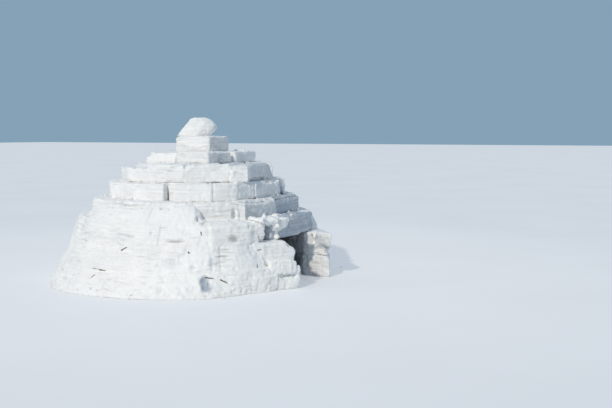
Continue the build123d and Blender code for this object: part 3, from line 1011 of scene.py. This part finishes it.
# %% [markdown]
# Two lines inside the wall close the sheet, so that its mesh has no open edge. The larger hollows are a
# pit at the foot, a gap, and some level cracks. They could be left to chance, but the photo shows where
# they are, so they are placed by points of the picture, like the marks.

# %% Packed snow
BEHIND = [(radius_4 - 0.12, top_3 - 0.03), (radius_3 - 0.1, 0.0)]
HOLLOWS = [
    (205.5, 284.5, 0.048, 0.09, 0.02), (199.5, 219, 0.03, 0.055, 0.04),
    (212.5, 264.5, 0.022, 0.1, 0.01), (152, 233, 0.02, 0.09, 0.01),
    (173, 241, 0.11, 0.016, 0.014), (172, 254, 0.09, 0.013, 0.01),
    (224.5, 252.5, 0.075, 0.011, 0.011), (224, 258, 0.07, 0.011, 0.012),
    (223, 263.5, 0.075, 0.011, 0.011), (132, 207.5, 0.15, 0.011, 0.012),
    (193, 267, 0.03, 0.04, 0.014), (158.5, 265, 0.016, 0.06, 0.01),
]


def grid_quads(columns, rows, wrap):
    """Quads of a grid of points, numbered down each column."""
    quads = []
    for c in range(columns - 1):
        for k in range(rows if wrap else rows - 1):
            a, b = c * rows + k, c * rows + (k + 1) % rows
            quads.append((a, a + rows, b + rows, b))
    return quads


def swept(radii, across, heights):
    """Points given by distances from the dome's axis, angles and heights."""
    return side_by_side(radii * np.cos(across), radii * np.sin(across), heights)


turns = np.repeat(angles, rows)
radii = radii - sheet_dive(turns, heights.ravel()).reshape(columns, rows)
sheet = swept(radii.ravel(), np.radians(turns), heights.ravel())
quads = grid_quads(columns, rows, False)
sheet = sheet + facing(sheet, quads) * relief(turns, sheet)[:, None]
bare = BVHTree.FromPolygons([tuple(p) for p in sheet], quads)
sheet = bitten(sheet, quads, [(seen_at(bare, x, y), (w, w, h), depth) for x, y, w, h, depth in HOLLOWS])
sheet = np.clip(sheet, KEPT_LOW - OVERHANG, KEPT_HIGH)
sheet[:, 2] = np.maximum(sheet[:, 2], 0)
backs = [swept(r, np.radians(angles), z)[:, None] for r, z in BEHIND]
loops = np.concatenate([sheet.reshape(columns, rows, 3)] + backs, axis=1)
rows = loops.shape[1]
faces = grid_quads(columns, rows, True)
faces.append(tuple(range(rows)))
faces.append(tuple(reversed(range((columns - 1) * rows, columns * rows))))
piece("snow_packed", loops.reshape(-1, 3), faces, packed_finish, "packed_snow", packed_nodes)
print("packed snow quads:", len(faces))

# %% [markdown]
# Loose snow was pressed where blocks did not meet: over the near end of the lintel, into the fifth
# course's open joint, and into corners and gaps beside the doorway. Balls would look like dough. So each
# bit is a box with its corners moved about, and a voxel remesh grows them together, which gives the soft
# creases that handfuls have.

# %% Pressed handfuls
lintel_low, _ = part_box("door_lintel")
HANDFULS = [
    ((-0.11, 0.03, 0.535), (0.06, 0.05, 0.022)), ((-0.02, 0.015, 0.52), (0.06, 0.05, 0.03)),
    ((0.05, -0.005, 0.5), (0.055, 0.05, 0.042)), ((0.11, -0.012, 0.492), (0.055, 0.048, 0.046)),
    ((0.15, -0.008, 0.5), (0.04, 0.04, 0.03)), ((0.055, 0.01, 0.44), (0.026, 0.04, 0.05)),
    ((0.05, 0.015, 0.395), (0.018, 0.03, 0.035)), ((0.11, 0.06, 0.54), (0.12, 0.06, 0.02)),
    ((-0.06, 0.09, 0.54), (0.09, 0.06, 0.02)),
]
PLUGS = [
    ((-0.56, -0.15, 0.735), (0.055, 0.05, 0.06), -75), ((-0.58, -0.185, 0.74), (0.055, 0.05, 0.06), -75),
    ((-0.61, -0.215, 0.745), (0.055, 0.05, 0.065), -75), ((-0.57, -0.185, 0.79), (0.06, 0.06, 0.035), -75),
    ((-0.288, -0.588, 0.889), (0.045, 0.08, 0.07), 44), ((-0.148, -0.66, 0.748), (0.014, 0.016, 0.062), 30),
    ((-0.472, -0.716, 0.605), (0.045, 0.032, 0.072), -40.5),
    ((-0.415, -1.042, 0.18), (0.095, 0.034, 0.055), -35),
    ((-0.345, -1.083, 0.174), (0.06, 0.034, 0.048), -35),
]
FINGERS, FINGER_REACH = 5, np.array([0.026, 0.024, 0.02])


def chunk(middle, reach, seed, turn=0.0, loose=1.0):
    """A broken bit of block: a box with its corners moved about, turned a little."""
    corners = np.array(list(product((-1, 1), repeat=3)), float)
    chance = luck(seed, 28)
    corners = corners * (1 + 0.25 * loose * (chance[:24].reshape(8, 3) - 1))
    turned = Matrix.Rotation(turn + 0.6 * loose * chance[24], 3, "Z")
    turned = np.array(turned @ Matrix.Rotation(0.5 * loose * chance[25], 3, "Y"))
    sides = [(0, 1, 3, 2), (4, 6, 7, 5), (0, 4, 5, 1), (2, 3, 7, 6), (0, 2, 6, 4), (1, 5, 7, 3)]
    return (corners * np.array(reach)) @ turned.T + np.array(middle), sides


bits = []
for number, ((side, out, height), reach) in enumerate(HANDFULS):
    middle = np.array([lintel_low.x + side, lintel_low.y + out, height])
    bits.append(chunk(middle, reach, 610 + number))
    for k in range(FINGERS):
        chance = luck(700 + 9 * number + k, 5)
        near = middle + chance[:3] * np.array(reach) * np.array([1.0, 0.9, 0.9])
        bits.append(chunk(near, FINGER_REACH * (1 + 0.35 * chance[3]), 800 + 9 * number + k))
for number, (middle, reach, turn) in enumerate(PLUGS):
    bits.append(chunk(middle, reach, 905 + number, math.radians(turn), 0.15))
skin, quads, pairs = even_skin(*joined(bits), FINER_SKIN)
skin = worn(skin, quads, pairs, 402, 0.7, 0.0)
piece("snow_pressed_on_lintel", skin, quads, packed_finish, "loose_snow", [])
print("pressed snow quads:", len(quads))

# %% [markdown]
# Every knock leaves crumbs on the ledges and along the foot. A particle system could scatter them, but
# here they have to be part of a mesh. Each is a small ball pushed out of shape, and lies where a ray
# dropped on the finished pieces lands. All of them are one piece, because nobody will want to move a
# single crumb.

# %% Crumbs
CRUMBS_PER_LEDGE, CRUMBS_AT_FOOT = 75, 36
FROM_WALL, SCATTERED = 0.012, 0.035
SMALLEST, LARGER = 0.004, 0.011
CRUMB_SHAPE = np.array([1.2, 1.0, 0.8])
surface = as_surface([o for o in bpy.data.objects if o.type == "MESH" and o.name.startswith("snow_")])
ledges = [radius_4, widest("fifth_course_left"), widest("sixth_course_back"), 0.4, radius_1 + 0.1]

work = bmesh.new()
bmesh.ops.create_icosphere(work, subdivisions=2, radius=1.0)
crumb, crumb_faces = taken_from(work)
crumbs = []
for number, ledge in enumerate(ledges):
    for k in range(CRUMBS_PER_LEDGE if ledge < radius_1 else CRUMBS_AT_FOOT):
        chance = luck(911 * number + k + 40, 6)
        turn = math.pi * chance[0]
        reach = ledge + FROM_WALL + SCATTERED * abs(chance[1]) ** 1.5
        place = surface.ray_cast(round_dome(reach, turn, 2), Vector((0, 0, -1)))[0]
        if place is None:
            place = round_dome(reach, turn, 0)
        size = SMALLEST + LARGER * abs(chance[2]) ** 2
        shape = crumb * (1 + 0.35 * rough(crumb + 10 * chance[:3], 0.9, 5, 2))[:, None]
        shape = shape * size * CRUMB_SHAPE + np.array(place) + np.array([0, 0, 0.3 * size])
        within = (shape.min(0) > KEPT_LOW - 0.01).all() and (shape.max(0) < KEPT_HIGH + OVERHANG).all()
        if within and (shape[:, 2].min() > 0 or place.z == 0):
            shape[:, 2] = np.maximum(shape[:, 2], 0)
            crumbs.append((shape, crumb_faces))
piece("snow_crumbs", *joined(crumbs), lump_finish, "loose_snow", [])
print("crumbs:", len(crumbs))

# %% [markdown]
# A few bits of dry stalk were cut out of the drift with the snow, and show as dark specks. They could be
# painted on, but real ones have a shape and a small shadow. Each is found by looking from the camera
# through points of the picture to the surface, and lies half in the snow.

# %% Dry stalks
STALKS = [
    (121.5, 250.5, 126.8, 247.2, 0.0052), (99.5, 269.8, 105.5, 270.8, 0.0048),
    (92.5, 268.2, 99.5, 269.6, 0.0022), (205.3, 277.6, 213.8, 278.8, 0.0052),
    (220.3, 279.6, 227.6, 283.2, 0.0052), (188, 252.2, 189.4, 253.4, 0.0065),
    (200.9, 231.6, 201.4, 235.8, 0.0045), (95, 274.5, 91.5, 277.5, 0.0032),
    (257, 250.2, 261.5, 249.4, 0.003), (257, 264.5, 257.4, 268, 0.0026),
]
SIDES, STEPS = 6, 6
CROOKED, TAPER, KNOTTY = 0.0015, 0.45, 0.15
DARK_BARK, PALE_BARK = (0.03, 0.026, 0.022, 1), (0.11, 0.092, 0.07, 1)


def stalk(x, y, end_x, end_y, thickness, seed):
    """A thin bent stalk between two points of the picture: its points and faces."""
    share = np.linspace(0, 1, STEPS)
    line = np.array([seen_at(surface, x * (1 - t) + end_x * t, y * (1 - t) + end_y * t) for t in share])
    line += CROOKED * np.stack([rough(line, 0.02, seed + k, 1) for k in range(3)], 1)
    along = line[-1] - line[0]
    along /= np.linalg.norm(along)
    side = np.cross(along, (0.3, 0.2, 0.9))
    side /= np.linalg.norm(side)
    up = np.cross(along, side)
    spokes = np.linspace(0, 2 * math.pi, SIDES, endpoint=False)
    width = thickness * (1 - TAPER * share) * (1 + KNOTTY * np.sin(9 * share + seed))
    ring = np.cos(spokes)[:, None] * side + np.sin(spokes)[:, None] * up
    points = (line[:, None] + width[:, None, None] * ring[None]).reshape(-1, 3)
    faces = grid_quads(STEPS, SIDES, True)
    faces = [(a, d, c, b) for a, b, c, d in faces]
    faces.append(tuple(reversed(range(SIDES))))
    faces.append(tuple(range((STEPS - 1) * SIDES, STEPS * SIDES)))
    return points, faces


bark, shader, where = new_finish("dry_stalk")
fibre = where.grain(420, 4.0, 0.6)
feed(shader, {
    "Base Color": fibre.between(0.3, 0.7).tint(DARK_BARK, PALE_BARK),
    "Roughness": 0.6 + fibre * 0.3,
    "Normal": (fibre * 0.0004).bump(1.0),
})
stalks = [stalk(*row, 5 * k) for k, row in enumerate(STALKS)]
piece("dry_stalk_bits", *joined(stalks), bark, "dry_stalks", [])
print("stalks:", len(stalks))

# %% [markdown]
# The stage is a plain pale floor. More light would make it paler, but would also fall on the igloo. So a
# thin white glow, painted light, is mixed into its finish, brighter near the igloo, and only the camera sees
# it: no light goes from it to the snow.

# %% Stage
FLOOR, UNEVEN_FLOOR = (0.955, 0.955, 0.955, 1), (0.9168, 0.9168, 0.9168, 1)
FLOOR_WIDTH = 160
GLOW_COLOUR = (0.93, 0.95, 1.0, 1)
FLOOR_GLOW, NEAR_FLOOR_GLOW = 0.16, 0.17

pale, shader, where = new_finish("pale_floor")
feed(shader, {"Base Color": where.grain(0.6).between(0.3, 0.7).tint(FLOOR, UNEVEN_FLOOR)})
shader.inputs["Roughness"].default_value = 0.9
seen = source(where.tree, "LightPath", "Is Camera Ray")
glow = seen.node("Emission", {}, {"Color": GLOW_COLOUR, "Strength": 1.0})
away = where.node("VectorMath", {"operation": "LENGTH"}, {0: where}, 1)
# Painted light: the floor glows more near the igloo.
glow_share = FLOOR_GLOW + (1 - away.between(1.2, 6.0)) * NEAR_FLOOR_GLOW
lit = Wire(where.tree, shader.outputs[0])
glowing_floor = seen.node("MixShader", {}, {0: seen * glow_share, 1: lit, 2: glow})
feed(where.tree.nodes["Material Output"], {"Surface": glowing_floor})
bpy.ops.mesh.primitive_plane_add(size=FLOOR_WIDTH)
floor = bpy.context.object
floor.name = "floor"
floor.data.materials.append(pale)
print("floor:", FLOOR_WIDTH, "m wide")

# %% [markdown]
# The sun stands behind the camera, to its left, about as high as in the photo, and its soft edge blurs the
# shadows a little. The sky fills the shade with some blue. A picture of a sky could give both at once, but
# two plain lights can be matched to the photo one at a time. The backdrop is a colour that lights nothing.

# %% Light
SUN_TURN, SUN_HEIGHT, SUN_WIDTH = -180, 31, 2
SUN_STRENGTH, SUN_COLOUR = 1.78, (1.0, 0.925, 0.81)
SKY_STRENGTH, SKY = 0.54, (0.61, 0.78, 0.98, 1)
BACKDROP = (0.235, 0.36, 0.47, 1)

sun = bpy.data.lights.new("key", "SUN")
sun.energy = SUN_STRENGTH
sun.angle = math.radians(SUN_WIDTH)
sun.color = SUN_COLOUR
key = bpy.data.objects.new("key", sun)
turn, rise = math.radians(SUN_TURN), math.radians(SUN_HEIGHT)
towards = Vector((math.cos(rise) * math.cos(turn), math.cos(rise) * math.sin(turn), math.sin(rise)))
key.rotation_euler = towards.to_track_quat("Z", "Y").to_euler()
bpy.context.scene.collection.objects.link(key)

world = bpy.data.worlds.new("sky")
bpy.context.scene.world = world
world.use_nodes = True
tree = world.node_tree
tree.nodes.clear()
seen, glossy, through = (
    source(tree, "LightPath", f"Is {kind} Ray") for kind in ("Camera", "Glossy", "Transmission"))
seen = (seen + glossy + through).between(0.0, 1.0)
fill = seen.node("Background", {}, {"Color": SKY, "Strength": SKY_STRENGTH})
back = seen.node("Background", {}, {"Color": BACKDROP, "Strength": 1.0})
mixed = seen.node("MixShader", {}, {0: seen, 1: fill, 2: back})
feed(tree.nodes.new("ShaderNodeOutputWorld"), {"Surface": mixed})
bpy.context.scene.view_settings.view_transform = "Standard"
print("sun:", SUN_STRENGTH, "sky:", SKY_STRENGTH)

# %% [markdown]
# The dressed igloo has to stay inside the packed model's box.
